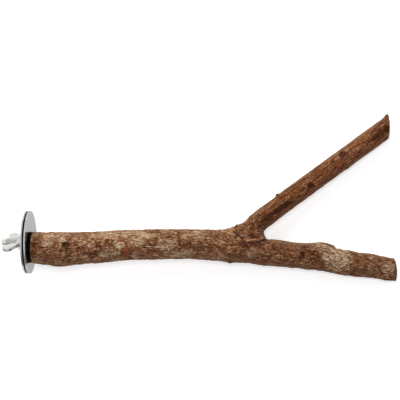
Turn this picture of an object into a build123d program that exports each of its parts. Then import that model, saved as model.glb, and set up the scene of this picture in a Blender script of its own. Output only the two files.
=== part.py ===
from build123d import *
import math
import os

# A forked bark perch that clamps to a cage wall between two washers, in millimetres.
# The origin is on the bolt's axis, on the inner washer's face that the cage wall seats against.
# X runs along the bolt into the wood, the fork lies level in XY, and Z is up.
# Laid down, the perch rests on the washers' rims and on the tips of both arms.

# Hanger bolt: a machine thread on the cage side, a wood thread in the branch
bolt_diameter = 6.0
bolt_length = 60.0
stud_reach = 17.2
pilot_diameter = 4.7
pilot_length = 2.2
screw_point_length = 6.0
screw_point_diameter = 1.2
thread_bite = 0.5

# Washers and pad on the bolt
washer_diameter = 40.0
washer_thickness = 1.0
washer_edge = 0.15
bolt_play = 0.2
clamp_gap = 1.0
pad_thickness = 1.2
pad_setback = 0.2

# Wing nut
hub_base_diameter = 11.0
hub_top_diameter = 9.6
hub_height = 5.3
thread_play = 0.05
wing_span = 27.0
wing_height = 13.3
wing_thickness = 2.4
wing_tip_radius = 3.4
wing_root_rise = 1.6
wing_edge = 0.7
wing_turn = 20.0

# Stem of the branch, from the pad to its sawn end, and the share of its sinking that is even
stem_length = 233.0
stem_base_diameter = 20.0
stem_end_diameter = 14.8
stem_end_slant = 11.0
stem_even_sink = 0.6

# Share of the stem's length, sideways place of its core, swelling over the even taper
stem_stations = [
    (0.00, -3.3, 0.0),
    (0.035, -3.9, 0.9),
    (0.075, -4.6, 2.4),
    (0.15, -3.6, 0.9),
    (0.265, -1.8, 0.4),
    (0.345, -1.5, 1.3),
    (0.41, -1.3, 1.1),
    (0.51, -2.3, 2.3),
    (0.575, -4.1, 1.9),
    (0.645, -7.0, 0.7),
    (0.728, -8.9, 0.3),
    (0.762, -9.5, 1.1),
    (0.795, -9.7, 2.7),
    (0.829, -11.5, 2.3),
    (0.848, -13.3, 0.8),
    (0.913, -15.4, 0.4),
    (1.00, -18.6, 0.0),
]

# Side branch, from the stem's core to its sawn end
fork_share = 0.53
side_length = 131.0
side_diameter = 12.9
side_angle = 36.5
side_end_slant = 35.0

# Share of the side branch's length, swelling over its even diameter
side_stations = [
    (0.00, 4.2),
    (0.10, 0.4),
    (0.20, 0.3),
    (0.34, -0.3),
    (0.60, -0.1),
    (0.80, 0.1),
    (1.00, 0.0),
]

# Wood that fills the fork, bands that the wood is drawn in, and what is left over for the saw
crotch_diameter = 16.0
crotch_reach = 16.8
stem_bands = 32
side_bands = 14
saw_allowance = 14.0

# Places along the bolt that follow from the sizes
wood_face = washer_thickness + pad_thickness
nut_face = -clamp_gap - washer_thickness
bolt_tip = bolt_length - stud_reach
rest_height = -washer_diameter / 2


def along_bolt(start, shape):
    """Stand a shape that was made along +Z on the bolt's axis, from a place on X."""
    return Pos(start, 0, 0) * Rot(0, 90, 0) * shape


def rod(diameter, length):
    return Cylinder(diameter / 2, length, align=(Align.CENTER, Align.CENTER, Align.MIN))


def taper(base_diameter, top_diameter, length):
    return Cone(base_diameter / 2, top_diameter / 2, length, align=(Align.CENTER, Align.CENTER, Align.MIN))


def between(stations, share):
    """Values at a share of the length, eased from one station to the next."""
    share = min(max(share, stations[0][0]), stations[-1][0])
    for before, after in zip(stations, stations[1:]):
        if share <= after[0]:
            break
    step = (share - before[0]) / (after[0] - before[0])
    ease = step**2 * (3 - 2 * step)
    return [low + ease * (high - low) for low, high in zip(before[1:], after[1:])]


def stem_core(share):
    """Centre and diameter of the stem, which sinks until its end rests beside the washers."""
    sideways, swelling = between(stem_stations, share)
    end_drop = rest_height + stem_end_diameter / 2
    sink = end_drop * (stem_even_sink * share + (1 - stem_even_sink) * share**2)
    even = stem_base_diameter + share * (stem_end_diameter - stem_base_diameter)
    return Vector(wood_face + share * stem_length, sideways, sink), even + swelling


def side_core(share):
    """Centre and diameter of the side branch, which leaves the stem's core and sinks alike."""
    root, _ = stem_core(fork_share)
    swelling = between(side_stations, share)[0]
    run = share * side_length
    heading = math.radians(side_angle)
    end_drop = rest_height + side_diameter / 2
    sink = root.Z + share * (end_drop - root.Z)
    center = Vector(root.X + run * math.cos(heading), root.Y + run * math.sin(heading), sink)
    return center, side_diameter + swelling


def grown(cores, seam):
    """Wood in bands between round sections that stand square to the core."""
    sections = []
    for number, (center, diameter) in enumerate(cores):
        before = cores[max(number - 1, 0)][0]
        after = cores[min(number + 1, len(cores) - 1)][0]
        square = Plane(center, x_dir=seam, z_dir=after - before)
        sections.append(square * Circle(diameter / 2))
    return loft(sections, ruled=True)


def sawn(wood, center, heading):
    """Saw the wood off upright through a point, across a heading in degrees from +X."""
    turn = math.radians(heading)
    cut = Plane(center, z_dir=(math.cos(turn), math.sin(turn), 0))
    return split(wood, bisect_by=cut, keep=Keep.BOTTOM)


def screw_half(diameter):
    """The bolt's half in the wood: a shank from the pad's far face, with a point."""
    shank_length = bolt_tip - wood_face - screw_point_length
    shank = along_bolt(wood_face, rod(diameter, shank_length))
    point = taper(diameter, screw_point_diameter, screw_point_length)
    return shank + along_bolt(wood_face + shank_length, point)


def make_stem():
    cores = [stem_core(band / stem_bands) for band in range(stem_bands + 1)]
    end = cores[-1][0]
    run = end - cores[-2][0]
    over = saw_allowance / stem_length
    stem = grown([stem_core(-over)] + cores + [stem_core(1 + over)], seam=(0, -1, 0))
    stem = sawn(stem, end, math.degrees(math.atan2(run.Y, run.X)) + stem_end_slant)
    return sawn(stem, (wood_face, 0, 0), 180)


def make_side():
    cores = [side_core(band / side_bands) for band in range(side_bands + 1)]
    over = saw_allowance / side_length
    side = grown(cores + [side_core(1 + over)], seam=(0, 0, -1))
    return sawn(side, cores[-1][0], side_angle - side_end_slant)


def make_crotch():
    """Ball of wood that fills the fork, with its poles inside the two arms."""
    middle = math.radians(side_angle / 2)
    onward = Vector(math.cos(middle), math.sin(middle), 0)
    across = Vector(-math.sin(middle), math.cos(middle), 0)
    root, _ = stem_core(fork_share)
    beside, _ = stem_core(fork_share + crotch_reach / stem_length)
    center = root + onward * crotch_reach
    place = Plane((center.X, center.Y, beside.Z), x_dir=-onward, z_dir=across)
    return place * Sphere(crotch_diameter / 2)


def make_branch():
    wood = make_stem() + make_side() + make_crotch()
    return wood - screw_half(bolt_diameter - 2 * thread_bite)


def make_hanger_bolt():
    pilot = along_bolt(-stud_reach, rod(pilot_diameter, pilot_length))
    lead_length = (bolt_diameter - pilot_diameter) / 2
    thread_start = pilot_length - stud_reach
    lead = along_bolt(thread_start, taper(pilot_diameter, bolt_diameter, lead_length))
    stud_start = thread_start + lead_length
    stud = along_bolt(stud_start, rod(bolt_diameter, wood_face - stud_start))
    return pilot + lead + stud + screw_half(bolt_diameter)


def make_washer(start):
    washer = chamfer(rod(washer_diameter, washer_thickness).edges(), washer_edge)
    washer -= rod(bolt_diameter + 2 * bolt_play, washer_thickness)
    return along_bolt(start, washer)


def make_pad():
    """Rubber disc cut to the wood's end, with the bolt's hole off its middle."""
    end, diameter = stem_core(0)
    disc = Pos(0, end.Y, 0) * along_bolt(washer_thickness, rod(diameter - 2 * pad_setback, pad_thickness))
    return disc - along_bolt(washer_thickness, rod(bolt_diameter + 2 * bolt_play, pad_thickness))


def make_wing_nut():
    """Cast nut that stands on the outer washer, its near wing turned down from upright."""
    tip_reach = wing_span / 2 - wing_tip_radius
    tip_rise = wing_height - wing_tip_radius
    tip = Pos(tip_reach, tip_rise) * Circle(wing_tip_radius)
    root = Line((0, wing_root_rise), (0, hub_height))
    outline = make_hull(tip.edges() + root.edges())
    wing = extrude(outline, wing_thickness / 2, both=True)
    wing = fillet(wing.edges().filter_by(Axis.Z, reverse=True), wing_edge)
    wing = Rot(90, 0, 0) * wing
    hub = taper(hub_base_diameter, hub_top_diameter, hub_height)
    nut = hub + wing + Rot(0, 0, 180) * wing
    nut -= rod(bolt_diameter + 2 * thread_play, wing_height)
    return Pos(nut_face, 0, 0) * Rot(wing_turn, 0, 0) * Rot(0, -90, 0) * nut


os.makedirs("parts", exist_ok=True)
export_step(make_branch(), "parts/branch.step")
export_step(make_hanger_bolt(), "parts/hanger_bolt.step")
export_step(make_pad(), "parts/rubber_pad.step")
export_step(make_washer(0), "parts/inner_washer.step")
export_step(make_washer(nut_face), "parts/outer_washer.step")
export_step(make_wing_nut(), "parts/wing_nut.step")
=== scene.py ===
import math

import bmesh
import bpy
import numpy as np
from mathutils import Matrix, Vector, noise


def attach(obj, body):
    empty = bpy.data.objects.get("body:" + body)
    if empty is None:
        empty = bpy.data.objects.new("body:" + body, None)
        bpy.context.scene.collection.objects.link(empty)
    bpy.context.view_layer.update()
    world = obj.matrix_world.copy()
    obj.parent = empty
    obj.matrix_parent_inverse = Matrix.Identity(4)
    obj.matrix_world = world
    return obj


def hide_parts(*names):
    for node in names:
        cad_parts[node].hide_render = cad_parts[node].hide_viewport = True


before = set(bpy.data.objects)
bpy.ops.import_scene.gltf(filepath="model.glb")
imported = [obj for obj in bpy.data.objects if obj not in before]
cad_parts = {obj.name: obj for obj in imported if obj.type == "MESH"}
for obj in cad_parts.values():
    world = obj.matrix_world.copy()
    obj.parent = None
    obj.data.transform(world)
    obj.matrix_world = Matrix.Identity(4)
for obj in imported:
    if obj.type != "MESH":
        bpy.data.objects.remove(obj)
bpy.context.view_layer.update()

# A forked bark perch lying on a white table. Sizes are in millimetres in the part's own frame:
# X runs along the bolt into the wood, the fork lies level in XY, Z is up, the table is at TABLE_Z.
MM = 0.001
TABLE_Z = -20.0

# Bolt, from its smooth pilot over the machine thread and the shank to the wood thread's point
STUD_END = -17.2
BOLT_TIP = 42.8
BOLT_SIDES = 48
PILOT_RADIUS = 2.35
PILOT_LENGTH = 2.2
NOSE_LENGTH = 0.5
NOSE_SLOPE = 0.5
STUD_RADIUS = 3.0
STUD_PITCH = 1.0
STUD_STEP = 0.125
STUD_THREAD_DEPTH = 0.5
STUD_THREAD_SLOPE = 1.3
STUD_THREAD_END = 1.2
SHANK_END = 5.5
WOOD_PITCH = 2.6
WOOD_STEP = 0.2
WOOD_THREAD_ROOT = 2.05
WOOD_THREAD_SLOPE = 2.4
CREST_FLAT = 0.1
SCREW_POINT_LENGTH = 6.0
SCREW_POINT_SHARE = 0.1

# Washers and pad
DISC_SIDES = 180
CORNER_STEPS = 5
WASHER_RADIUS = 20.0
WASHER_THICKNESS = 1.0
WASHER_EDGE = 0.15
HOLE_RADIUS = 3.2
HOLE_EDGE = 0.1
OUTER_WASHER_FACE = -2.0
PAD_RADIUS = 9.8
PAD_CENTER_Y = -3.3
PAD_THICKNESS = 1.2
PAD_EDGE = 0.25

# Wing nut: its sizes, and how its faces are brought onto the cast skin
NUT_FACE = -2.0
NUT_BORE_RADIUS = 3.05
HUB_BASE_RADIUS = 5.5
HUB_TOP_RADIUS = 4.8
HUB_HEIGHT = 5.3
WING_TURN = 20.0
WING_ROOT = (0.0, 3.45)
WING_ROOT_RADIUS = 1.85
WING_TIP = (10.1, 9.9)
WING_TIP_RADIUS = 3.4
WING_THICKNESS = 2.4
CAST_EDGE = 0.7
CAST_FILLET = 1.8
NUT_VOXEL = 0.2
NUT_ROUNDS = 5
SLOPE_STEP = 0.03

# Branch: where its core runs, how thick it is, and the bolt's bore with the margins kept round it
WOOD_FACE = 2.2
STEM_LENGTH = 233.0
STEM_BASE_DIAMETER = 20.0
STEM_END_DIAMETER = 14.8
STEM_END_SLANT = 11.0
STEM_EVEN_SINK = 0.6
STEM_BANDS = 32
FORK_SHARE = 0.53
SIDE_LENGTH = 131.0
SIDE_DIAMETER = 12.9
SIDE_ANGLE = 36.5
SIDE_END_SLANT = 35.0
CROTCH_RADIUS = 8.5
CROTCH_REACH = 16.8
BORE_RADIUS = 2.5
BORE_MARGIN = 0.45
BORE_END_MARGIN = 0.5

# Share of the stem's length, sideways place of its core, swelling over the even taper
STEM_STATIONS = [
    (0.00, -3.3, 0.0),
    (0.035, -3.9, 0.9),
    (0.075, -4.6, 2.4),
    (0.15, -3.6, 0.9),
    (0.265, -1.8, 0.4),
    (0.345, -1.5, 1.3),
    (0.41, -1.3, 1.1),
    (0.51, -2.3, 2.3),
    (0.575, -4.1, 1.9),
    (0.645, -7.0, 0.7),
    (0.728, -8.9, 0.3),
    (0.762, -9.5, 1.1),
    (0.795, -9.7, 2.7),
    (0.829, -11.5, 2.3),
    (0.848, -13.3, 0.8),
    (0.913, -15.4, 0.4),
    (1.00, -18.6, 0.0),
]

# Share of the side branch's length, its bow to the left, swelling over its even diameter
SIDE_STATIONS = [
    (0.00, 0.0, 4.2),
    (0.10, 0.1, 0.5),
    (0.20, 0.2, 0.5),
    (0.34, 0.3, 0.2),
    (0.60, 0.1, 0.1),
    (0.80, -0.2, 0.2),
    (1.00, -0.5, 0.1),
]

# How finely the branch is modelled, and how softly its limbs grow together
BARK_VOXEL = 0.525
SKIN_ROUNDS = 4
CORE_STEPS = 1200
CORE_SPARE = 0.1
CORE_SMOOTHING = 4.0
LIMB_ROUNDS = 4
LIMB_STEP = 0.002
LIMB_SPARE = 0.08
FORK_BLEND = 4.0
CROTCH_BLEND = 2.4

# Sawn ends: their reach, how deep a face is taken, the saw's play, and a face's share of bare wood
END_REACH = 20.0
CAP_DEPTH = 0.25
SAW_PLAY = 0.04
BARE_SHARE = 0.93

# Bark: the shift that joins the limbs' grain in the fork, and between which shares of the limbs'
# lengths and of the way up it grows young, ripe or marked
SIDE_GRAIN_SHIFT = 9.0
YOUNG_SHARES = (0.13, 0.3)
RIPE_SHARES = (0.5, 0.62)
UPPER_SIDE = (-0.15, 0.05)
YOUNG_SMOOTHNESS = 0.6

# Noises in the bark's grain: size in millimetres along, across and up, octaves, shift
RAGGED_NOISE = ((3.2, 2.2, 2.2), 4, 5.3)
LUMP_NOISE = ((26, 15, 15), 2, 3.7)
PLATE_NOISE = ((4.6, 2.5, 2.5), 5, 11.3)
LINE_NOISE = ((12, 2.6, 2.6), 3, 23.1)
STROKE_NOISE = ((3.4, 1.6, 1.6), 3, 41.7)
FIBRE_NOISE = ((9, 1.2, 1.2), 2, 31.9)

# How far these and the dark marks stand out or in, how ragged marks are, and the dark ones' share
LUMP_RISE = 0.26
PLATE_RISE = 0.26
CRACK_DEPTH = 0.22
STROKE_RISE = 0.18
FIBRE_RISE = 0.07
DARK_DEPTH = 0.25
RAGGEDNESS = 0.35
DARK_RAGGEDNESS = 0.6

# Where the plates part, what marks and age do to them, and where the cracks run
PLATE_EDGE = (-0.1, 0.1)
PALE_PLATING = 0.5
RUST_PLATING = -0.7
RIPE_PLATING = -0.12
CRACK_EDGE = (0.08, 0.0)
CRACK_LUMPS = (-0.2, 0.3)
CRACK_BIAS = 0.2

# Reach, as a share of a mark's size, at which it starts and is full
PATCH_EDGE = (1.18, 0.82)
BUD_EDGE = (1.3, 0.7)
LINE_EDGE = (1.35, 0.45)

# Camera of the photograph: straight above, its place and its focal length in pixels
CAMERA_X = 108.55
CAMERA_Y = 26.82
CAMERA_Z = 560.0
PHOTO_SIZE = 400
FOCAL_PIXELS = 880.0
SENSOR_WIDTH = 36.0

# Light: the room's level and its fall to its edge, the lamps in metres and watts, how white the
# table shows to the camera and in the metal, and half the table's width in metres
ROOM_LIGHT = 0.36
ROOM_EDGE = 0.3
ROOM_LEAN = 0.45
SKY_START = 0.1
SKY_END = 0.75
LIGHT_TARGET = (0.11, 0.02, 0.0)
KEY_PLACE = (-0.30, 0.75, 0.62)
KEY_SIZE = 0.8
KEY_POWER = 8.5
TOP_PLACE = (0.02, 0.16, 0.90)
TOP_SIZE = 0.16
TOP_POWER = 1.8
TABLE_GLOW = 0.55
MIRRORED_GLOW = 0.9
MIRRORED_FADE = 0.6
TABLE_HALF = 1.5

# Bark on screen from its crevices to its palest scales, its tints, and its marks; the dark mark's
# colour also paints shadow
BARK_TONES = [
    (0.00, (46, 18, 3)),
    (0.20, (82, 46, 22)),
    (0.40, (110, 74, 48)),
    (0.55, (128, 94, 68)),
    (0.70, (149, 116, 88)),
    (0.85, (174, 145, 118)),
    (1.00, (205, 179, 152)),
]
BASE_TONE = 0.84
BASE_WARMTH = 0.83
BARK_WARMTH = (1.0, 0.71, 0.58, 1.0)
BARK_OLIVE = (1.0, 0.97, 0.78, 1.0)
BARK_SHEEN = (228, 186, 146)
PALE_BARK = (188, 162, 136)
RUST_BARK = (132, 61, 29)
LIP_BARK = (192, 140, 100)
DARK_BARK_AND_SHADE = (48, 13, 3)

# Sawn wood: its tones, its rings' turn over a millimetre and their wave, its heart, the saw's marks
WOOD_TONES = ((176, 122, 78), (226, 180, 132))
HEART_WOOD = (128, 82, 48)
RING_RATE = 3.4
RING_WAVE = 5.0
HEART_RADIUS = 0.5
SAW_MARKS = (120, 2600, 120)

# Two tones of each metal and of the rubber on screen, the metal's gloss, and the table's paper
STEEL_TONES = ((178, 179, 180), (196, 196, 196))
STEEL_CLOUD = (166, 168, 171)
STEEL_GLOSS = (0.6, 0.6, 0.6, 1)
ZINC_TONES = ((208, 209, 206), (236, 236, 232))
CAST_TONES = ((192, 192, 186), (226, 225, 219))
ZINC_GLOSS = (0.7, 0.7, 0.7, 1)
# Painted shade in the grooves of the bolt's thread: its colour, and its share at the grooves' root
GROOVE_SHADE_TONE = (70, 68, 64)
GROOVE_SHADE_SHARE = 0.1
RUBBER_TONES = ((5, 5, 5), (18, 17, 16))
PAPER_TONES = ((0.87, 0.87, 0.875, 1), (0.91, 0.91, 0.91, 1))

# Marks on the upper side, by their pixel in the photograph:
# across, down, length, width, turn in degrees, strength
PALE_PATCHES = [
    (47, 241, 16, 11, 0, 0.4),
    (56, 235.5, 22, 4, 0, 0.6),
    (62.5, 240.3, 9, 6, 10, 1.0),
    (59.8, 245, 4, 7, 0, 0.8),
    (92, 245, 8, 7, 0, 0.6),
    (104, 235, 30, 7, 2, 0.6),
    (110, 253.5, 24, 8, 5, 0.5),
    (120, 246, 10, 7, 10, 0.9),
    (136, 235, 30, 9, 0, 0.8),
    (139, 242, 14, 6, 0, 0.5),
    (135, 255.5, 9, 5, 0, 0.6),
    (167, 244, 22, 10, 5, 0.6),
    (178, 254, 28, 7, 0, 0.45),
    (195, 236, 30, 7, 0, 0.35),
    (233.8, 234.5, 5, 5.5, 0, 0.4),
    (243, 235, 8, 4, -20, 0.3),
    (252, 253, 12, 11, -45, 0.5),
    (320, 247, 18, 9, -20, 0.6),
    (337, 258, 30, 24, -35, 0.55),
    (341, 266, 18, 12, -15, 0.3),
    (371, 258, 5, 3, 0, 0.6),
    (366, 267, 26, 16, -8, 0.2),
    (388, 269, 13, 14, 0, 0.58),
    (278, 256, 6, 2, 0, 0.5),
    (330, 168, 4, 2, 36, 0.5),
    (346, 151, 8, 3, 36, 0.3),
    (342.9, 153.2, 1.8, 1.6, 0, 0.7),
    (314.2, 183.2, 2, 3, 36, 0.4),
]
RUST_PATCHES = [
    (36, 247, 12, 9, 0, 0.3),
    (34.3, 240.8, 3, 3, 0, 0.7),
    (51, 256, 4, 4, 0, 0.7),
    (75, 248, 14, 8, 0, 0.3),
    (97, 244.5, 5, 5, 0, 0.7),
    (107, 241.2, 5, 4, 0, 0.7),
    (111.5, 245, 5, 4, 0, 0.8),
    (122, 239.5, 9, 5, 0, 0.75),
    (126, 252.5, 9.5, 10, 0, 1.0),
    (146, 240, 5, 2.5, 10, 0.8),
    (149, 252, 13, 2, -5, 0.6),
    (139.5, 250, 5, 3, -30, 0.7),
    (179, 237.5, 3.5, 14, 0, 0.7),
    (214, 246.5, 20, 4, 0, 0.45),
    (232, 249, 22, 4, -6, 0.4),
    (232.5, 228, 7, 6, 30, 0.8),
    (250, 223, 6, 4, 36, 0.5),
    (264, 264, 9, 3, -5, 0.5),
    (314.5, 266, 18, 3, 0, 0.5),
    (363, 262, 16, 8, -8, 0.35),
    (321, 172.5, 4, 3, 36, 0.7),
    (339, 164, 10, 4, 36, 0.5),
    (311, 184.5, 7, 5, 36, 0.7),
]
DARK_PATCHES = [
    (64.8, 244.9, 5.8, 4.8, 20, 1.0),
    (68.3, 245.6, 2.4, 6.6, 0, 0.9),
    (66, 248, 4, 1.6, 0, 0.8),
    (100, 252, 20, 5, 10, 0.35),
    (96.2, 244.1, 1.6, 4, 0, 0.6),
    (100, 244.2, 2, 3.6, 0, 0.6),
    (107, 240.1, 4, 2.4, 10, 0.6),
    (111.7, 245, 3.6, 2.8, -20, 0.7),
    (123.5, 239.8, 7, 2, 10, 0.4),
    # Painted shadow along the left border of the large rust patch
    (121.2, 254, 1.8, 4, 0, 0.5),
    (124.5, 254.3, 8, 6, 25, 0.3),
    (131, 256, 2.5, 6, 0, 0.7),
    (196, 247, 30, 6, -3, 0.45),
    (251, 245, 24, 5, 0, 0.4),
    (267.5, 217.5, 16, 4.5, 36, 0.9),
    (282, 207.5, 22, 6, 36, 1.0),
    (280, 214.5, 3, 1.6, 36, 0.8),
    (303, 255.2, 5.4, 5.8, 20, 1.0),
    (300.5, 259.5, 3, 3, 45, 0.6),
    (311.5, 254.5, 14, 6, 0, 0.25),
    (341.3, 154.3, 5.2, 5, 36, 1.0),
    (344.6, 153.1, 3.2, 4.2, 36, 0.9),
    (342.8, 151.4, 4.8, 2, 36, 0.7),
    (310.6, 185.2, 6.6, 5.4, 36, 1.0),
    (313.8, 186.2, 3.6, 2.6, 36, 0.9),
    (258, 232, 22, 13, 40, 0.15),
    (379, 135, 20, 6, 36, 0.8),
    (387, 129, 8, 8, 45, 0.95),
    (386, 114.8, 5, 4, 30, 0.8),
    (385.5, 139, 6, 2.4, 30, 0.9),
]
LIP_PATCHES = [
    (247.5, 240.2, 4, 1.6, 0, 0.8),
    (251.4, 239.8, 3.4, 1.6, 5, 0.9),
    (254.6, 239.5, 2.8, 1.8, 5, 0.9),
    (257.2, 240.6, 4, 1.4, 12, 0.8),
    (262.2, 238.3, 5.4, 1.5, 10, 0.9),
    (239, 238.9, 5, 2.4, -10, 0.6),
    (232.2, 227.8, 4.4, 4, 40, 0.8),
    (231.4, 230.2, 4, 2.8, 0, 0.7),
    (235.2, 230.6, 2.5, 2, 0, 0.5),
]
SCALY_PATCHES = [
    (321, 247, 14, 9, -20, 0.7),
    (337, 258, 31, 25, -35, 1.0),
    (342, 267, 18, 12, -15, 0.8),
    (388, 270, 14, 12, 0, 0.5),
]

# Knots by their pixel: across, down, radius, rise of the rim, depth of the middle
KNOTS = [
    (65, 245.5, 4.0, 0.5, 0.9),
    (303, 255.6, 3.0, 0.3, 0.7),
    (342.8, 153.5, 2.8, 0.4, 0.4),
    (311.5, 184.5, 3.2, 0.4, 0.3),
    (34.3, 240.8, 2.0, 0.2, 0.2),
]
# Place and width of a knot's rim and width of its pit, as shares of its radius
RIM_PLACE = 0.8
RIM_WIDTH = 0.4
PIT_WIDTH = 0.5
# Bumps, buds and dents on the outline: across, down, radius, rise, darkness
BUMPS = [
    (81, 265.0, 2.2, 0.7, 0.9),
    (51, 231.9, 2.4, 0.7, 0.7),
    (96, 231.9, 2.0, 0.6, 0.9),
    (230.2, 261.2, 3.4, 1.1, 1.0),
    (236.7, 225.4, 1.8, 1.0, 1.0),
    (233.5, 225.8, 4.0, 0.5, 0.0),
    (243, 222.5, 7.0, -1.0, 0.0),
    (277.4, 195.4, 1.8, 1.7, 1.0),
    (348.4, 168.5, 2.0, 0.6, 0.9),
    (322, 187, 2.2, 0.5, 0.9),
    (345.4, 274.8, 2.5, 0.6, 0.0),
    (337.5, 246.5, 3.0, -1.6, 0.0),
    (342.0, 249.5, 3.0, -0.7, 0.0),
    (385.5, 114.8, 2.6, 1.2, 0.6),
]
# How high above the limb's middle they sit, and how wide they are for their height
BUMP_LEVEL = 1.5
BUMP_SQUAT = 0.5
DENT_SQUAT = 0.15
# Dark cracks, and painted shadow lines under the fork's bark ridge and under the hump's lifted flake:
# from, to, half width, strength
CRACK_AND_SHADOW_LINES = [
    ((234.9, 226.0), (236.6, 231.0), 0.9, 0.9),
    ((234.4, 232.0), (241.8, 238.7), 1.2, 1.0),
    ((239.0, 233.2), (235.3, 238.3), 1.0, 0.9),
    ((254.0, 237.3), (257.0, 237.2), 1.0, 0.9),
    # Painted shadow on the lower side of the fork's bark ridge
    ((261.0, 240.4), (264.2, 240.0), 1.3, 1.0),
    ((264.6, 237.5), (265.2, 239.2), 1.0, 0.9),
    ((257.2, 241.2), (258.0, 241.9), 1.0, 0.9),
    ((247.8, 243.4), (250.6, 241.9), 0.9, 0.7),
    ((249.6, 224.8), (252.4, 223.1), 0.9, 0.7),
    ((252.4, 223.1), (254.0, 226.0), 1.1, 1.0),
    ((262.0, 222.8), (263.6, 220.6), 1.1, 0.8),
    ((62.3, 261.0), (70.0, 255.0), 0.9, 0.8),
    ((95.6, 242.8), (96.6, 247.2), 0.8, 0.8),
    ((98.8, 242.6), (99.4, 247.0), 0.8, 0.8),
    ((105.5, 240.2), (109.8, 244.4), 0.9, 0.9),
    ((109.8, 244.4), (113.5, 240.5), 0.9, 0.8),
    ((178.4, 231.0), (179.6, 246.0), 0.9, 0.6),
    ((177.6, 231.8), (180.0, 232.6), 1.0, 0.9),
    ((185.0, 249.0), (198.0, 250.0), 0.8, 0.5),
    ((201.0, 246.4), (214.0, 247.6), 0.8, 0.5),
    # Painted shadow under a lifted flake of bark on the hump
    ((329.0, 244.6), (337.0, 249.0), 0.8, 0.8),
]
# Lips of bark over the fork: from, to, half width, rise
LIPS = [
    ((246, 240.4), (256, 239.7), 1.2, 0.45),
    ((256, 241.2), (259.5, 240.4), 0.9, 0.35),
    ((259.5, 239.0), (265, 238.0), 1.1, 0.45),
    ((258, 242.0), (265, 240.4), 1.1, -0.5),
    ((231, 224.5), (241, 238.0), 1.8, 0.35),
    ((234, 224.5), (244, 238.0), 1.0, -0.35),
]


def fade(start, end, value):
    """0 at start and 1 at end, eased."""
    step = np.clip((value - start) / (end - start), 0, 1)
    return step**2 * (3 - 2 * step)


def linear(red, green, blue):
    """Colour for a shader from its values on screen, 0 to 255."""
    screen = np.array([red, green, blue]) / 255
    light = np.where(screen <= 0.04045, screen / 12.92, ((screen + 0.055) / 1.055) ** 2.4)
    return (*light.tolist(), 1.0)


class Graph:
    """Shader nodes in a tree, with one call for each kind that is used here."""

    def __init__(self, tree):
        self.tree = tree

    def put(self, socket, value):
        """Link a node's output to a socket, or set the socket to a plain value."""
        if isinstance(value, bpy.types.NodeSocket):
            self.tree.links.new(value, socket)
        else:
            socket.default_value = value

    def feed(self, node, inputs):
        """Put values in a node's sockets, by their names with _ for each space."""
        for name, value in inputs.items():
            self.put(node.inputs[name.replace("_", " ")], value)

    def node(self, kind, **inputs):
        node = self.tree.nodes.new("ShaderNode" + kind)
        self.feed(node, inputs)
        return node

    def attribute(self, name):
        node = self.node("Attribute")
        node.attribute_name = name
        return node.outputs["Vector"]

    def place(self):
        return self.node("TexCoord").outputs["Object"]

    def split(self, vector):
        node = self.node("SeparateXYZ", Vector=vector)
        return node.outputs["X"], node.outputs["Y"], node.outputs["Z"]

    def calc(self, operation, *values):
        node = self.node("Math")
        node.operation = operation
        for socket, value in zip(node.inputs, values):
            self.put(socket, value)
        return node.outputs["Value"]

    def times(self, first, second):
        return self.calc("MULTIPLY", first, second)

    def less(self, first, second):
        return self.calc("SUBTRACT", first, second)

    def more(self, total, value, weight):
        """A total with a weighted value added to it."""
        return self.calc("MULTIPLY_ADD", value, weight, total)

    def total(self, base, parts):
        """A base with each value of the parts added to it by its weight."""
        for value, weight in parts:
            base = self.more(base, value, weight)
        return base

    def span(self, value, start, end, low=0.0, high=1.0):
        """Map start..end to low..high, with the ends held."""
        node = self.node("MapRange", Value=value, From_Min=start, From_Max=end, To_Min=low, To_Max=high)
        return node.outputs["Result"]

    def mix(self, share, first, second, blend="MIX"):
        node = self.node("Mix")
        node.data_type = "RGBA"
        node.blend_type = blend
        self.put(node.inputs["Factor"], share)
        self.put(node.inputs[6], first)
        self.put(node.inputs[7], second)
        return node.outputs[2]

    def between(self, share, tones):
        """A mix of two colours on screen."""
        first, second = tones
        return self.mix(share, linear(*first), linear(*second))

    def ramp(self, value, stops):
        """Colours on screen by value, blended from stop to stop."""
        node = self.node("ValToRGB", Fac=value)
        band = node.color_ramp.elements
        while len(band) < len(stops):
            band.new(0.5)
        for element, (place, color) in zip(band, stops):
            element.position = place
            element.color = linear(*color)
        return node.outputs["Color"]

    def stretch(self, vector, scale):
        return self.node("Mapping", Vector=vector, Scale=scale).outputs["Vector"]

    def noise(self, vector, scale, detail=3.0, roughness=0.55):
        node = self.node("TexNoise", Vector=vector, Scale=scale, Detail=detail, Roughness=roughness)
        return node.outputs["Fac"]

    def swing(self, vector, scale, detail=3.0, roughness=0.55):
        """Noise about zero, whose lumps shrink by scale along, across and up."""
        return self.less(self.noise(self.stretch(vector, scale), 1.0, detail, roughness), 0.5)

    def wavy(self, vector, scale, amount):
        """The same places, pushed about by a soft noise."""
        push = self.node("TexNoise", Vector=vector, Scale=scale).outputs["Color"]
        node = self.node("VectorMath")
        node.operation = "MULTIPLY_ADD"
        for socket, value in zip(node.inputs, (push, (amount,) * 3, vector)):
            self.put(socket, value)
        return node.outputs["Vector"]

    def scales(self, vector, scale):
        """Small plates: the distance to the nearest border and a chance value for each plate."""
        places = self.stretch(vector, scale)
        border = self.node("TexVoronoi", Vector=places, Scale=1.0)
        border.feature = "DISTANCE_TO_EDGE"
        plate = self.node("TexVoronoi", Vector=places, Scale=1.0)
        chance, _, _ = self.split(plate.outputs["Color"])
        return border.outputs["Distance"], chance

    def bolt_radius(self):
        """Distance from the bolt's axis, in metres."""
        _, y, z = self.split(self.place())
        square = self.calc("ADD", self.calc("POWER", y, 2.0), self.calc("POWER", z, 2.0))
        return self.calc("SQRT", square)


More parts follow.
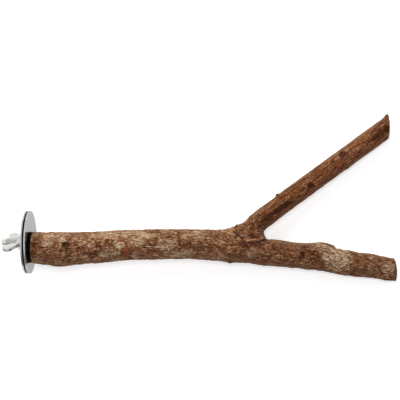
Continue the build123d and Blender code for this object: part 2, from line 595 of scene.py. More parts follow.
class Surface(Graph):
    """A material: its nodes, and the shader that they feed."""

    def __init__(self, name, **inputs):
        self.material = bpy.data.materials.new(name)
        self.material.use_nodes = True
        super().__init__(self.material.node_tree)
        self.shade(**inputs)

    def shade(self, **inputs):
        self.feed(self.tree.nodes["Principled BSDF"], inputs)

    def bump(self, height, strength, depth):
        node = self.node("Bump", Strength=strength, Distance=depth, Height=height)
        self.shade(Normal=node.outputs["Normal"])


class BarkPatterns:
    """What the branch's mesh says of its bark, and soft patterns in the bark's grain."""

    def __init__(self, graph):
        grain = graph.attribute("grain")
        self.flake, self.crack, self.young = graph.split(graph.attribute("wear"))
        self.pale, self.rust, self.dark = graph.split(graph.attribute("marks"))
        self.sawn, self.ring, self.lip = graph.split(graph.attribute("ends"))
        self.stroke, self.ripe, self.scaly = graph.split(graph.attribute("fine"))

        self.mottle = graph.swing(grain, (0.07, 0.14, 0.14), 3)
        self.hue = graph.swing(grain, (0.22, 0.42, 0.42), 4, 0.6)
        self.fleck = graph.swing(grain, (0.28, 0.62, 0.62), 4, 0.62)
        self.speck = graph.swing(grain, (0.7, 1.7, 1.7), 2, 0.65)
        self.fibre = graph.swing(grain, (0.13, 1.25, 1.25), 3, 0.6)
        self.flow = graph.swing(graph.wavy(grain, 0.17, 4.0), (0.24, 1.2, 1.2), 4, 0.66)
        self.olive = graph.swing(grain, (0.05, 0.12, 0.12), 3)
        self.saw = graph.swing(graph.place(), SAW_MARKS, 2)

        bent = graph.wavy(grain, 0.3, 3.0)
        border, self.chance = graph.scales(bent, (0.26, 0.66, 0.66))
        self.gap = graph.span(border, 0.02, 0.2, 1, 0)
        vein = graph.calc("ABSOLUTE", graph.swing(bent, (0.1, 0.36, 0.36), 3, 0.55))
        deep = graph.span(self.fleck, 0.12, -0.08, 0.25, 1)
        self.vein = graph.times(graph.span(vein, 0.0, 0.05, 1, 0), deep)
        thin = graph.swing(graph.wavy(grain, 0.5, 1.6), (0.16, 0.6, 0.6), 2, 0.5)
        self.thin = graph.span(graph.calc("ABSOLUTE", thin), 0.0, 0.11, 1, 0)
        plated = graph.span(self.young, 0, 1, 1.0, 0.3)
        self.plated = graph.times(plated, graph.span(self.ripe, 0, 1, 1.0, 0.85))


def bark_tone(graph, bark):
    """How pale the bark is, from 0 to 1: each pattern has its weight in it."""
    chips = graph.more(graph.times(bark.plated, 0.1), bark.scaly, 0.26)
    seams = graph.more(graph.times(bark.plated, -0.26), bark.scaly, -0.34)
    parts = [
        (bark.ripe, -0.175),
        (bark.mottle, 0.5),
        (bark.fleck, 0.4),
        (bark.speck, 1.5),
        (bark.flow, graph.span(bark.plated, 0.3, 1, 0.0, 1.15)),
        (graph.less(bark.flake, 0.5), graph.times(bark.plated, 0.1)),
        (graph.less(bark.chance, 0.5), chips),
        (bark.gap, seams),
        (bark.vein, graph.times(bark.plated, -0.31)),
        (bark.thin, graph.times(bark.plated, -0.29)),
        (bark.scaly, 0.36),
        (bark.stroke, 0.14),
        (bark.crack, -0.2),
        (bark.fibre, graph.span(bark.young, 0, 1, 0.4, 1.55)),
        (bark.young, -0.185),
        (bark.pale, 0.26),
    ]
    return graph.total(BASE_TONE, parts)


def bark_color(graph, bark):
    """Colour of the bark without its marks: its tone, with warm and olive spots."""
    tone = bark_tone(graph, bark)
    parts = [(bark.hue, 3.6), (tone, -0.5), (bark.young, 0.3), (bark.ripe, -0.05), (bark.pale, -0.6)]
    warmth = graph.span(graph.total(BASE_WARMTH, parts), 0.0, 1.0)
    color = graph.mix(warmth, graph.ramp(tone, BARK_TONES), BARK_WARMTH, "MULTIPLY")
    return graph.mix(graph.span(bark.olive, 0.0, 0.2, 0, 0.8), color, BARK_OLIVE, "MULTIPLY")


def marked_color(graph, bark):
    """Colour of the bark with its marks, which are gritty as the bark is; the dark mark is partly
    painted shadow.
    """
    color = bark_color(graph, bark)
    grit = graph.total(bark.speck, [(bark.fibre, 0.6), (bark.fleck, 0.7)])
    grit = graph.span(grit, -0.13, 0.13, 0.45, 1.55)
    marks = [
        (bark.pale, 0.2, PALE_BARK),
        (bark.rust, 0.8, RUST_BARK),
        (bark.lip, 0.85, LIP_BARK),
        # Dark marks: scars, cracks, knots and buds, and painted shadow lines and borders
        (bark.dark, 0.92, DARK_BARK_AND_SHADE),
    ]
    for mark, share, shade in marks:
        spot = graph.mix(1.0, linear(*shade), grit, "MULTIPLY")
        color = graph.mix(graph.times(mark, share), color, spot)
    return color


def sawn_color(graph, bark):
    """Colour of the sawn ends: growth rings with saw marks, stains and a dark heart."""
    turn = graph.more(graph.times(bark.ring, RING_RATE), bark.hue, RING_WAVE)
    rings = graph.more(graph.calc("SINE", turn), bark.saw, 2.5)
    face = graph.between(graph.span(rings, -1, 1), WOOD_TONES)
    face = graph.mix(graph.span(bark.fleck, 0.0, 0.2, 0, 0.6), face, linear(*HEART_WOOD))
    heart = graph.span(bark.ring, HEART_RADIUS, 2 * HEART_RADIUS, 0.8, 0)
    return graph.mix(heart, face, linear(*HEART_WOOD))


def bark_relief(graph, bark):
    """Fine relief of the bark, and of the saw's marks on the ends."""
    parts = [
        (bark.fibre, 0.7),
        (bark.gap, graph.times(bark.plated, -0.3)),
        (bark.flow, bark.plated),
        (bark.vein, graph.times(bark.plated, -0.6)),
    ]
    relief = graph.times(graph.total(bark.speck, parts), graph.less(1.0, bark.sawn))
    return graph.more(relief, bark.saw, bark.sawn)


def bark_material():
    graph = Surface("bark", Specular_IOR_Level=0.12, Sheen_Weight=0.5, Sheen_Roughness=0.5)
    graph.shade(Sheen_Tint=linear(*BARK_SHEEN))
    bark = BarkPatterns(graph)
    color = graph.mix(bark.sawn, marked_color(graph, bark), sawn_color(graph, bark))
    graph.shade(Base_Color=color, Roughness=graph.span(bark.speck, -0.2, 0.2, 0.75, 0.95))
    graph.bump(bark_relief(graph, bark), strength=0.9, depth=0.0006)
    return graph.material


def washer_material():
    """Smooth steel with fine turned lines and faint clouds."""
    graph = Surface("polished_steel", Metallic=1.0, Specular_Tint=STEEL_GLOSS)
    _, y, z = graph.split(graph.place())
    turned = graph.node("CombineXYZ", X=graph.times(graph.bolt_radius(), 9.0), Y=y, Z=z)
    lines = graph.noise(turned.outputs["Vector"], 420.0, 2)
    cloud = graph.span(graph.noise(graph.place(), 130.0, 3), 0.4, 0.7, 0, 0.25)
    color = graph.mix(cloud, graph.between(lines, STEEL_TONES), linear(*STEEL_CLOUD))
    graph.shade(Base_Color=color, Roughness=graph.span(lines, 0.3, 0.7, 0.05, 0.10))
    graph.bump(lines, strength=0.04, depth=0.00005)
    return graph.material


def zinc_material(name, tones):
    """Bright zinc plate, with painted shade in the grooves of the bolt's thread."""
    graph = Surface(name, Metallic=1.0, Specular_Tint=ZINC_GLOSS)
    cloud = graph.noise(graph.place(), 260.0, 4, 0.6)
    grain = graph.noise(graph.place(), 1500.0, 3, 0.6)
    x, _, _ = graph.split(graph.place())
    root = (STUD_RADIUS - STUD_THREAD_DEPTH) * MM
    groove = graph.span(graph.bolt_radius(), root, STUD_RADIUS * MM, GROOVE_SHADE_SHARE, 0)
    past_pilot = graph.calc("GREATER_THAN", x, (STUD_END + PILOT_LENGTH) * MM)
    # Painted shade, strongest at the root of the machine thread's grooves past the pilot
    groove_shade = graph.times(groove, past_pilot)
    color = graph.mix(groove_shade, graph.between(cloud, tones), linear(*GROOVE_SHADE_TONE))
    graph.shade(Base_Color=color, Roughness=graph.span(cloud, 0.3, 0.7, 0.05, 0.13))
    graph.bump(grain, strength=0.07, depth=0.0001)
    return graph.material


def rubber_material():
    graph = Surface("black_rubber", Specular_IOR_Level=0.08)
    dust = graph.noise(graph.place(), 900.0, 4, 0.65)
    color = graph.between(graph.span(dust, 0.45, 0.75), RUBBER_TONES)
    graph.shade(Base_Color=color, Roughness=graph.span(dust, 0.3, 0.7, 0.65, 0.9))
    graph.bump(dust, strength=0.25, depth=0.0001)
    return graph.material


def table_material():
    """White table: lit and shaded as paper is, and seen as white by the camera and in the metal."""
    graph = Surface("white_table", Roughness=0.9, Emission_Color=(1, 1, 1, 1))
    tooth = graph.noise(graph.place(), 240.0, 3)
    paper = graph.mix(tooth, *PAPER_TONES)
    ray = graph.node("LightPath").outputs
    mirrored = ray["Is Glossy Ray"]
    seen = graph.calc("ADD", ray["Is Camera Ray"], ray["Is Transmission Ray"])
    glow = graph.more(graph.times(seen, TABLE_GLOW), mirrored, MIRRORED_GLOW)
    color = graph.mix(graph.times(mirrored, MIRRORED_FADE), paper, (0, 0, 0, 1))
    graph.shade(Base_Color=color, Emission_Strength=glow)
    return graph.material


def added(name, data):
    """A new object in the scene."""
    thing = bpy.data.objects.new(name, data)
    bpy.context.scene.collection.objects.link(thing)
    return thing


def show(name, mesh, material, smooth_below=40.0):
    """Put a mesh in the scene with its material, smooth except over sharper edges."""
    mesh.materials.clear()
    mesh.materials.append(material)
    mesh.polygons.foreach_set("use_smooth", [True] * len(mesh.polygons))
    mesh.set_sharp_from_angle(angle=math.radians(smooth_below))
    return added(name, mesh)


def stand_for(piece, node, body):
    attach(piece, body)
    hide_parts(node)


def bridged(name, rings, closed):
    """A mesh through rings of points in millimetres, joined end to end or capped."""
    count, around, _ = rings.shape
    mesh = bpy.data.meshes.new(name)
    faces = []
    for row in range(count if closed else count - 1):
        ahead = (row + 1) % count
        for spot in range(around):
            beside = (spot + 1) % around
            near = (row * around + spot, row * around + beside)
            far = (ahead * around + beside, ahead * around + spot)
            faces.append(near + far)
    if not closed:
        faces.append(tuple(reversed(range(around))))
        faces.append(tuple(range((count - 1) * around, count * around)))
    mesh.from_pydata((rings.reshape(-1, 3) * MM).tolist(), [], faces)
    solid = bmesh.new()
    solid.from_mesh(mesh)
    bmesh.ops.recalc_face_normals(solid, faces=solid.faces)
    solid.to_mesh(mesh)
    solid.free()
    return mesh


def circle(x, y, radius):
    turn = np.linspace(0, 2 * math.pi, DISC_SIDES, endpoint=False)
    return np.stack([np.full(DISC_SIDES, x), y + radius * np.cos(turn), radius * np.sin(turn)], axis=1)


def disc_with_hole(name, start, thickness, radius, center_y, edge):
    """A flat ring on the bolt's axis with rounded edges, its rim round another centre if given."""
    end = start + thickness
    low, high = [], []
    for angle in np.linspace(0, math.pi / 2, CORNER_STEPS):
        rise = edge * (1 - math.sin(angle))
        reach = radius - edge * (1 - math.cos(angle))
        low.append(circle(start + rise, center_y, reach))
        high.append(circle(end - rise, center_y, reach))
    low.append(circle(start, center_y, radius - 2 * edge))
    high.append(circle(end, center_y, radius - 2 * edge))
    hole = [
        circle(end, 0.0, HOLE_RADIUS + HOLE_EDGE),
        circle(end - HOLE_EDGE, 0.0, HOLE_RADIUS),
        circle(start + HOLE_EDGE, 0.0, HOLE_RADIUS),
        circle(start, 0.0, HOLE_RADIUS + HOLE_EDGE),
    ]
    return bridged(name, np.array(low[::-1] + high + hole), closed=True)


def washer_mesh(name, start):
    return disc_with_hole(name, start, WASHER_THICKNESS, WASHER_RADIUS, 0.0, WASHER_EDGE)


def thread(x, turn, pitch, root, crest, slope):
    """Radius of a right-handed thread with flat crests at places along and round the bolt."""
    phase = (x / pitch - turn / (2 * math.pi)) % 1.0
    tooth = np.clip(1 + CREST_FLAT - slope * np.abs(2 * phase - 1), 0, 1)
    return root + (crest - root) * tooth


def bolt_mesh():
    """Hanger bolt: smooth pilot, machine thread, plain shank, wood thread and point."""
    stud = np.arange(STUD_END, SHANK_END, STUD_STEP)
    screw = np.arange(SHANK_END, BOLT_TIP, WOOD_STEP)
    x = np.concatenate([stud, screw, [BOLT_TIP]])[:, None]
    turn = np.linspace(0, 2 * math.pi, BOLT_SIDES, endpoint=False)[None, :]
    stud_root = STUD_RADIUS - STUD_THREAD_DEPTH
    machine = thread(x, turn, STUD_PITCH, stud_root, STUD_RADIUS, STUD_THREAD_SLOPE)
    plain = np.full_like(machine, STUD_RADIUS)
    coarse = thread(x, turn, WOOD_PITCH, WOOD_THREAD_ROOT, STUD_RADIUS, WOOD_THREAD_SLOPE)
    radius = np.where(x < STUD_THREAD_END, machine, np.where(x < SHANK_END, plain, coarse))
    thread_start = STUD_END + PILOT_LENGTH
    lead = PILOT_RADIUS + np.maximum(x - thread_start, 0)
    pilot = PILOT_RADIUS - NOSE_SLOPE * np.maximum(NOSE_LENGTH - (x - STUD_END), 0)
    radius = np.where(x < thread_start, pilot, np.minimum(radius, lead))
    radius = radius * np.clip((BOLT_TIP - x) / SCREW_POINT_LENGTH, SCREW_POINT_SHARE, 1.0)
    flat = np.broadcast_to(x, radius.shape)
    rings = np.stack([flat, radius * np.cos(turn), radius * np.sin(turn)], axis=2)
    return bridged("bolt", rings, closed=False)


def remeshed(node, voxel):
    """A copy of a CAD node's skin in even small faces, in millimetres."""
    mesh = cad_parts[node].data.copy()
    skin = bmesh.new()
    skin.from_mesh(mesh)
    bmesh.ops.remove_doubles(skin, verts=skin.verts, dist=1e-6)
    bmesh.ops.scale(skin, vec=(1 / MM,) * 3, verts=skin.verts)
    skin.to_mesh(mesh)
    skin.free()
    draft = added(node + "_draft", mesh)
    change = draft.modifiers.new("even", "REMESH")
    change.mode = "VOXEL"
    change.voxel_size = voxel
    graph = bpy.context.evaluated_depsgraph_get()
    even = bpy.data.meshes.new_from_object(draft.evaluated_get(graph))
    bpy.data.objects.remove(draft)
    bpy.data.meshes.remove(mesh)
    return even


def vertices_of(mesh):
    places = np.empty(len(mesh.vertices) * 3)
    mesh.vertices.foreach_get("co", places)
    return places.reshape(-1, 3)


def set_vertices(mesh, places):
    """Write places in millimetres back to a mesh, in metres."""
    mesh.vertices.foreach_set("co", (places * MM).ravel())
    mesh.update()


def wing_gap(reach, rise, across):
    """Gap to a round-edged wing: a long drop shape from its root to its tip, of even thickness."""
    root, tip = np.array(WING_ROOT), np.array(WING_TIP)
    offset = np.stack([reach, rise], axis=1) - root
    run = tip - root
    length = np.linalg.norm(run)
    lean = (WING_TIP_RADIUS - WING_ROOT_RADIUS) / length
    along = offset @ run / length
    aside = np.abs(offset @ np.array([-run[1], run[0]]) / length)
    share = np.clip((along + aside * lean) / length, 0, 1)
    radius = WING_ROOT_RADIUS + share * (WING_TIP_RADIUS - WING_ROOT_RADIUS)
    outline = np.hypot(along - share * length, aside) - radius + CAST_EDGE
    depth = np.abs(across) - WING_THICKNESS / 2 + CAST_EDGE
    outside = np.hypot(np.maximum(outline, 0), np.maximum(depth, 0))
    return outside + np.minimum(np.maximum(outline, depth), 0) - CAST_EDGE


def nut_gap(points):
    """Gap to the cast skin of the wing nut, with its wings flowing into the hub."""
    turn = math.radians(WING_TURN)
    rise = NUT_FACE - points[:, 0]
    across = points[:, 1] * math.cos(turn) + points[:, 2] * math.sin(turn)
    reach = np.abs(points[:, 2] * math.cos(turn) - points[:, 1] * math.sin(turn))
    radial = np.hypot(points[:, 1], points[:, 2])
    taper = HUB_BASE_RADIUS + rise / HUB_HEIGHT * (HUB_TOP_RADIUS - HUB_BASE_RADIUS)
    hub = np.maximum(radial - taper, rise - HUB_HEIGHT)
    cast, _, _ = joined(hub, points, wing_gap(reach, rise, across), points, CAST_FILLET)
    return np.maximum(np.maximum(cast, -rise), NUT_BORE_RADIUS - radial)


def nut_mesh():
    """Cast wing nut with soft edges, fillets at the wings' roots, a flat seat and a round bore."""
    mesh = remeshed("wing_nut", NUT_VOXEL)
    places = vertices_of(mesh)
    steps = np.eye(3) * SLOPE_STEP
    for _ in range(NUT_ROUNDS):
        slopes = [nut_gap(places + step) - nut_gap(places - step) for step in steps]
        outward = unit(np.stack(slopes, axis=1) + 1e-9)
        places -= nut_gap(places)[:, None] * outward
    set_vertices(mesh, places)
    return mesh


def eased(stations, share):
    """Values at shares of the length, eased from one station to the next."""
    table = np.array(stations)
    share = np.clip(share, table[0, 0], table[-1, 0])
    band = np.clip(np.searchsorted(table[:, 0], share, side="right") - 1, 0, len(table) - 2)
    low, high = table[band], table[band + 1]
    step = (share - low[:, 0]) / (high[:, 0] - low[:, 0])
    ease = (step**2 * (3 - 2 * step))[:, None]
    return low[:, 1:] + ease * (high[:, 1:] - low[:, 1:])


def grown_table(stations, length):
    """Two values of a limb at even shares of its length, with the stations' corners grown smooth."""
    share = np.linspace(-CORE_SPARE, 1 + CORE_SPARE, CORE_STEPS)
    half = round(CORE_SMOOTHING / length / (share[1] - share[0]))
    weight = np.hanning(2 * half + 1)
    columns = np.pad(eased(stations, share), ((half, half), (0, 0)), mode="edge").T
    return [share] + [np.convolve(column, weight / weight.sum(), "valid") for column in columns]


STEM_TABLE = grown_table(STEM_STATIONS, STEM_LENGTH)
SIDE_TABLE = grown_table(SIDE_STATIONS, SIDE_LENGTH)


def grown_at(table, share):
    return [np.interp(share, table[0], column) for column in table[1:]]


def level_way(turn):
    return np.array([math.cos(turn), math.sin(turn), 0.0])


def stem_core(share):
    """Centres and radii of the stem, which sinks until its end rests on the table."""
    sideways, swelling = grown_at(STEM_TABLE, share)
    end_drop = TABLE_Z + STEM_END_DIAMETER / 2
    sink = end_drop * (STEM_EVEN_SINK * share + (1 - STEM_EVEN_SINK) * share**2)
    even = STEM_BASE_DIAMETER + share * (STEM_END_DIAMETER - STEM_BASE_DIAMETER)
    center = np.stack([WOOD_FACE + share * STEM_LENGTH, sideways, sink], axis=1)
    return center, (even + swelling) / 2


def side_line():
    """Where the side branch leaves the stem's core, and its straight run from there to its end."""
    root = stem_core(np.array([FORK_SHARE]))[0][0]
    run = SIDE_LENGTH * level_way(math.radians(SIDE_ANGLE))
    run[2] = TABLE_Z + SIDE_DIAMETER / 2 - root[2]
    return root, run


def side_core(share):
    """Centres and radii of the side branch, which bows a little beside its straight run."""
    root, run = side_line()
    heading = math.radians(SIDE_ANGLE)
    left = np.array([-math.sin(heading), math.cos(heading), 0])
    bow, swelling = grown_at(SIDE_TABLE, share)
    return root + share[:, None] * run + bow[:, None] * left, (SIDE_DIAMETER + swelling) / 2


def dot(first, second):
    return np.einsum("ij,ij->i", first, second)


def unit(vectors):
    return vectors / np.linalg.norm(vectors, axis=1)[:, None]


class Limb:
    """How points lie round a core: share of its length, heading outward, gap to its skin."""

    def __init__(self, points, core, share, lowest, start, aside, length):
        for _ in range(LIMB_ROUNDS):
            share = np.clip(share, lowest, 1 + LIMB_SPARE)
            center, _ = core(share)
            ahead = (core(share + LIMB_STEP)[0] - core(share - LIMB_STEP)[0]) / (2 * LIMB_STEP)
            share = share + dot(points - center, ahead) / dot(ahead, ahead)
        share = np.clip(share, lowest, 1 + LIMB_SPARE)
        self.share = share
        self.center, self.radius = core(share)
        self.ahead = unit(ahead)
        offset = points - self.center
        self.reach = np.linalg.norm(offset, axis=1)
        self.out = offset / np.maximum(self.reach, 1e-6)[:, None]
        self.gap = self.reach - self.radius
        level = unit(np.stack([-ahead[:, 1], ahead[:, 0], np.zeros(len(share))], axis=1))
        across = aside + self.radius * dot(self.out, level)
        self.grain = np.stack([start + share * length, across, self.radius * self.out[:, 2]], axis=1)


def joined(gap, out, other_gap, other_out, width):
    """Two skins grown together, and how much of each point belongs to the other one."""
    share = np.clip(0.5 + 0.5 * (gap - other_gap) / width, 0, 1)
    both = gap + share * (other_gap - gap) - width * share * (1 - share)
    return both, out + share[:, None] * (other_out - out), share


def crotch_center():
    """Middle of the wood that fills the fork."""
    shares = np.array([FORK_SHARE, FORK_SHARE + CROTCH_REACH / STEM_LENGTH])
    root, beside = stem_core(shares)[0]
    center = root + CROTCH_REACH * level_way(math.radians(SIDE_ANGLE / 2))
    center[2] = beside[2]
    return center


def stem_of(points):
    share = (points[:, 0] - WOOD_FACE) / STEM_LENGTH
    return Limb(points, stem_core, share, lowest=-LIMB_SPARE, start=0.0, aside=0.0, length=STEM_LENGTH)


def side_of(points):
    root, tip = side_core(np.array([0.0, 1.0]))[0]
    share = (points - root) @ (tip - root) / ((tip - root) @ (tip - root))
    start = FORK_SHARE * STEM_LENGTH
    return Limb(points, side_core, share, 0.0, start, aside=SIDE_GRAIN_SHIFT, length=SIDE_LENGTH)


def branch_skin(points):
    """Gap to the smooth skin of the whole branch, the way out of it, and the two limbs."""
    stem = stem_of(points)
    side = side_of(points)
    gap, out, side_share = joined(stem.gap, stem.out, side.gap, side.out, FORK_BLEND)
    offset = points - crotch_center()
    reach = np.linalg.norm(offset, axis=1)
    gap, out, _ = joined(gap, out, reach - CROTCH_RADIUS, offset / reach[:, None], CROTCH_BLEND)
    return gap, unit(out), side_share, stem, side


def sawn_ends():
    """Each sawn face of the branch: a point on it, the way it faces, and its limb's function."""
    last, end = stem_core(np.array([1 - 1 / STEM_BANDS, 1.0]))[0]
    heading = math.atan2(end[1] - last[1], end[0] - last[0]) + math.radians(STEM_END_SLANT)
    root, run = side_line()
    side_heading = math.radians(SIDE_ANGLE - SIDE_END_SLANT)
    return [
        (np.array([WOOD_FACE, 0, 0]), np.array([-1.0, 0, 0]), stem_of),
        (end, level_way(heading), stem_of),
        (root + run, level_way(side_heading), side_of),
    ]


def noise_at(places, size, octaves, shift):
    """Soft noise, about -1 to 1, whose lumps are size millimetres along, across and up."""
    spots = (places / np.array(size) + shift).tolist()
    return np.array([noise.fractal(spot, 1.0, 2.0, octaves) for spot in spots])


def seen_at(points):
    """Where points show in the photograph, in its pixels."""
    scale = FOCAL_PIXELS / (CAMERA_Z - points[:, 2])
    across = PHOTO_SIZE / 2 + (points[:, 0] - CAMERA_X) * scale
    down = PHOTO_SIZE / 2 - (points[:, 1] - CAMERA_Y) * scale
    return across, down


def patched(seen, table, ragged):
    """How much each point lies in the patches of a table, with ragged borders."""
    mask = np.zeros(len(ragged))
    for across, down, length, width, turn, strength in table:
        heading = math.radians(turn)
        right, up = seen[0] - across, down - seen[1]
        along = right * math.cos(heading) + up * math.sin(heading)
        aside = up * math.cos(heading) - right * math.sin(heading)
        reach = np.hypot(along / (length / 2), aside / (width / 2)) + ragged
        mask = np.maximum(mask, strength * fade(*PATCH_EDGE, reach))
    return mask


def knot_relief(seen, upper):
    rise = np.zeros(len(upper))
    for across, down, radius, rim, pit in KNOTS:
        reach = np.hypot(seen[0] - across, seen[1] - down) / radius
        raised = rim * np.exp(-(((reach - RIM_PLACE) / RIM_WIDTH) ** 2))
        sunk = pit * np.exp(-((reach / PIT_WIDTH) ** 2))
        rise += upper * (raised - sunk)
    return rise


def outline_bumps(seen, level, ragged):
    """Rise and darkness of the outline's bumps, buds and dents, round from the side too."""
    rise = np.zeros(len(level))
    dark = np.zeros(len(level))
    tall = (level - BUMP_LEVEL) * FOCAL_PIXELS / CAMERA_Z
    for across, down, radius, height, darkness in BUMPS:
        squat = BUMP_SQUAT if height > 0 else DENT_SQUAT
        flat = (seen[0] - across) ** 2 + (seen[1] - down) ** 2
        reach = np.sqrt(flat + (squat * tall) ** 2) / radius
        rise += height * np.exp(-(reach**2))
        dark = np.maximum(dark, darkness * fade(*BUD_EDGE, reach + ragged))
    return rise, dark


def near_line(seen, first, last, width):
    """1 on a line between two pixels, fading beside it."""
    run = np.array(last) - np.array(first)
    offset = np.stack([seen[0] - first[0], seen[1] - first[1]], axis=1)
    share = np.clip(offset @ run / (run @ run), 0, 1)
    reach = np.linalg.norm(offset - share[:, None] * run, axis=1) / width
    return fade(*LINE_EDGE, reach)


def lip_relief(seen, upper):
    rise = np.zeros(len(upper))
    for first, last, width, height in LIPS:
        rise += upper * height * near_line(seen, first, last, width)
    return rise


def crack_and_shadow_lines(seen, upper):
    mask = np.zeros(len(upper))
    for first, last, width, strength in CRACK_AND_SHADOW_LINES:
        mask = np.maximum(mask, upper * strength * near_line(seen, first, last, width))
    return mask


def put_attribute(mesh, name, columns):
    layer = mesh.attributes.new(name, "FLOAT_VECTOR", "POINT")
    layer.data.foreach_set("vector", np.stack(columns, axis=1).astype(np.float32).ravel())


class BarkSkin:
    """The branch's smooth skin, and what its bark is like at each point."""

    def __init__(self, start):
        self.points = start.copy()
        for _ in range(SKIN_ROUNDS):
            gap, out, *_ = branch_skin(self.points)
            self.points -= gap[:, None] * out
        _, self.out, side_share, stem, side = branch_skin(self.points)
        self.grain = stem.grain + side_share[:, None] * (side.grain - stem.grain)
        self.young = side_share * fade(*YOUNG_SHARES, side.share)
        self.rough = 1.0 - YOUNG_SMOOTHNESS * self.young
        self.ripe = fade(*RIPE_SHARES, stem.share)
        self.find_marks()
        self.find_relief()

    def find_marks(self):
        """The photograph's marks on the upper side, with a few painted shadows among the dark ones, and
        its growths: knots, bumps and lips.
        """
        seen = seen_at(self.points)
        upper = fade(*UPPER_SIDE, self.out[:, 2])
        ragged = RAGGEDNESS * noise_at(self.grain, *RAGGED_NOISE)
        self.pale = upper * patched(seen, PALE_PATCHES, ragged)
        self.rust = upper * patched(seen, RUST_PATCHES, ragged)
        self.lip = upper * patched(seen, LIP_PATCHES, ragged)
        self.scaly = upper * patched(seen, SCALY_PATCHES, ragged)
        less_ragged = DARK_RAGGEDNESS * ragged
        swell, bud = outline_bumps(seen, self.grain[:, 2], less_ragged)
        dark = np.maximum(upper * patched(seen, DARK_PATCHES, less_ragged), crack_and_shadow_lines(seen, upper))
        self.dark = np.maximum(dark, bud)
        self.growths = knot_relief(seen, upper) + swell + lip_relief(seen, upper)

    def find_relief(self):
        """How far the bark stands out from the smooth skin, in plates, cracks, strokes and fibres."""
        lump = noise_at(self.grain, *LUMP_NOISE)
        plate = noise_at(self.grain, *PLATE_NOISE)
        line = noise_at(self.grain, *LINE_NOISE)
        fibre = noise_at(self.grain, *FIBRE_NOISE)
        self.stroke = noise_at(self.grain, *STROKE_NOISE)
        plate = plate + PALE_PLATING * self.pale + RUST_PLATING * self.rust + RIPE_PLATING * self.ripe
        self.flake = fade(*PLATE_EDGE, plate)
        self.crack = fade(*CRACK_EDGE, np.abs(line)) * fade(*CRACK_LUMPS, lump + CRACK_BIAS)
        plates = PLATE_RISE * (self.flake - 0.5) - CRACK_DEPTH * self.crack + STROKE_RISE * self.stroke
        self.height = LUMP_RISE * lump + self.rough * plates + FIBRE_RISE * fibre
        self.height -= DARK_DEPTH * self.dark
        self.height += self.growths


def saw_off(points, start, height):
    """Make the sawn ends flat. Says which points are bare wood, and how far they are from the core."""
    sawn = np.zeros(len(points))
    ring = np.zeros(len(points))
    for place, facing, limb_of in sawn_ends():
        near = np.linalg.norm(start - place, axis=1) < END_REACH
        limb = limb_of(start)
        cap = near & ((start - place) @ facing > -CAP_DEPTH)
        share = np.clip(limb.reach / limb.radius, 0, 1)
        flat = limb.center + limb.out * ((limb.radius + height) * share)[:, None]
        points[cap] = flat[cap]
        depth = (points - place) @ facing
        over = near & (cap | (depth > -SAW_PLAY))
        back = depth / (limb.ahead @ facing)
        points[over] -= (back[:, None] * limb.ahead)[over]
        sawn[cap & (share < BARE_SHARE)] = 1.0
        ring[cap] = limb.reach[cap]
    return sawn, ring


def branch_mesh():
    """The branch with its fork grown together, bark in relief, knots and sawn ends."""
    mesh = remeshed("branch", BARK_VOXEL)
    start = vertices_of(mesh)
    bark = BarkSkin(start)
    points = bark.points + bark.height[:, None] * bark.out
    sawn, ring = saw_off(points, start, bark.height)
    beside_bolt = np.hypot(start[:, 1], start[:, 2]) < BORE_RADIUS + BORE_MARGIN
    bore = beside_bolt & (start[:, 0] < BOLT_TIP + BORE_END_MARGIN)
    points[bore] = start[bore]
    sawn[bore] = 1.0
    points[:, 2] = np.maximum(points[:, 2], TABLE_Z)
    set_vertices(mesh, points)
    put_attribute(mesh, "grain", bark.grain.T)
    put_attribute(mesh, "wear", (bark.flake, bark.crack * bark.rough, bark.young))
    put_attribute(mesh, "marks", (bark.pale, bark.rust, bark.dark))
    put_attribute(mesh, "ends", (sawn, ring, bark.lip))
    put_attribute(mesh, "fine", (bark.stroke * bark.rough, bark.ripe, bark.scaly))
    return mesh


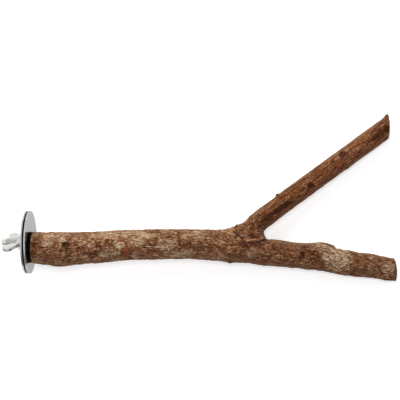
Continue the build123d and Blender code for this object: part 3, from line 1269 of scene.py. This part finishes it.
def build_perch():
    bark = bark_material()
    zinc = zinc_material("zinc_steel", ZINC_TONES)
    cast = zinc_material("cast_zinc", CAST_TONES)
    steel = washer_material()
    rubber = rubber_material()
    branch = show("bark_branch", branch_mesh(), bark, smooth_below=55.0)
    stand_for(branch, "branch", "perch")
    stand_for(show("threaded_bolt", bolt_mesh(), zinc), "hanger_bolt", "perch")
    pad = disc_with_hole("pad", WASHER_THICKNESS, PAD_THICKNESS, PAD_RADIUS, PAD_CENTER_Y, PAD_EDGE)
    stand_for(show("pad_disc", pad, rubber), "rubber_pad", "perch")
    inner = washer_mesh("inner", 0.0)
    stand_for(show("inner_disc", inner, steel), "inner_washer", "perch")
    outer = washer_mesh("outer", OUTER_WASHER_FACE)
    stand_for(show("outer_disc", outer, steel), "outer_washer", "outer_washer")
    stand_for(show("winged_nut", nut_mesh(), cast), "wing_nut", "wing_nut")


def build_table():
    mesh = bpy.data.meshes.new("table")
    z = TABLE_Z * MM
    corners = [(-1, -1), (1, -1), (1, 1), (-1, 1)]
    places = [(x * TABLE_HALF, y * TABLE_HALF, z) for x, y in corners]
    mesh.from_pydata(places, [], [(0, 1, 2, 3)])
    mesh.materials.append(table_material())
    table = added("table", mesh)


def add_lamp(name, place, size, power):
    """A round soft lamp that metal doesn't mirror."""
    data = bpy.data.lights.new(name, "AREA")
    data.shape = "DISK"
    data.size = size
    data.energy = power
    lamp = added(name, data)
    lamp.location = place
    aim = np.array(LIGHT_TARGET) - np.array(place)
    lamp.rotation_euler = Vector(aim.tolist()).to_track_quat("-Z", "Y").to_euler()
    lamp.visible_glossy = False


def build_light():
    """A pale room that metal sees bright overhead, a wide lamp at the upper left, a small one above."""
    world = bpy.data.worlds.new("studio")
    bpy.context.scene.world = world
    world.use_nodes = True
    graph = Graph(world.node_tree)
    _, y, z = graph.split(graph.node("TexCoord").outputs["Generated"])
    sky = graph.span(graph.more(z, y, ROOM_LEAN), SKY_START, SKY_END, ROOM_EDGE, 1.0)
    mirrored = graph.node("LightPath").outputs["Is Glossy Ray"]
    level = graph.span(mirrored, 0, 1, ROOM_LIGHT, sky)
    graph.feed(world.node_tree.nodes["Background"], {"Color": (1, 1, 1, 1), "Strength": level})
    add_lamp("key", KEY_PLACE, KEY_SIZE, KEY_POWER)
    add_lamp("top", TOP_PLACE, TOP_SIZE, TOP_POWER)


def build_camera():
    """The photograph's camera, which looks straight down."""
    data = bpy.data.cameras.new("camera")
    data.sensor_width = SENSOR_WIDTH
    data.lens = FOCAL_PIXELS / PHOTO_SIZE * SENSOR_WIDTH
    camera = added("camera", data)
    camera.location = (CAMERA_X * MM, CAMERA_Y * MM, CAMERA_Z * MM)
    bpy.context.scene.camera = camera


build_camera()
build_table()
build_light()
build_perch()
bpy.context.scene.view_settings.view_transform = "Standard"
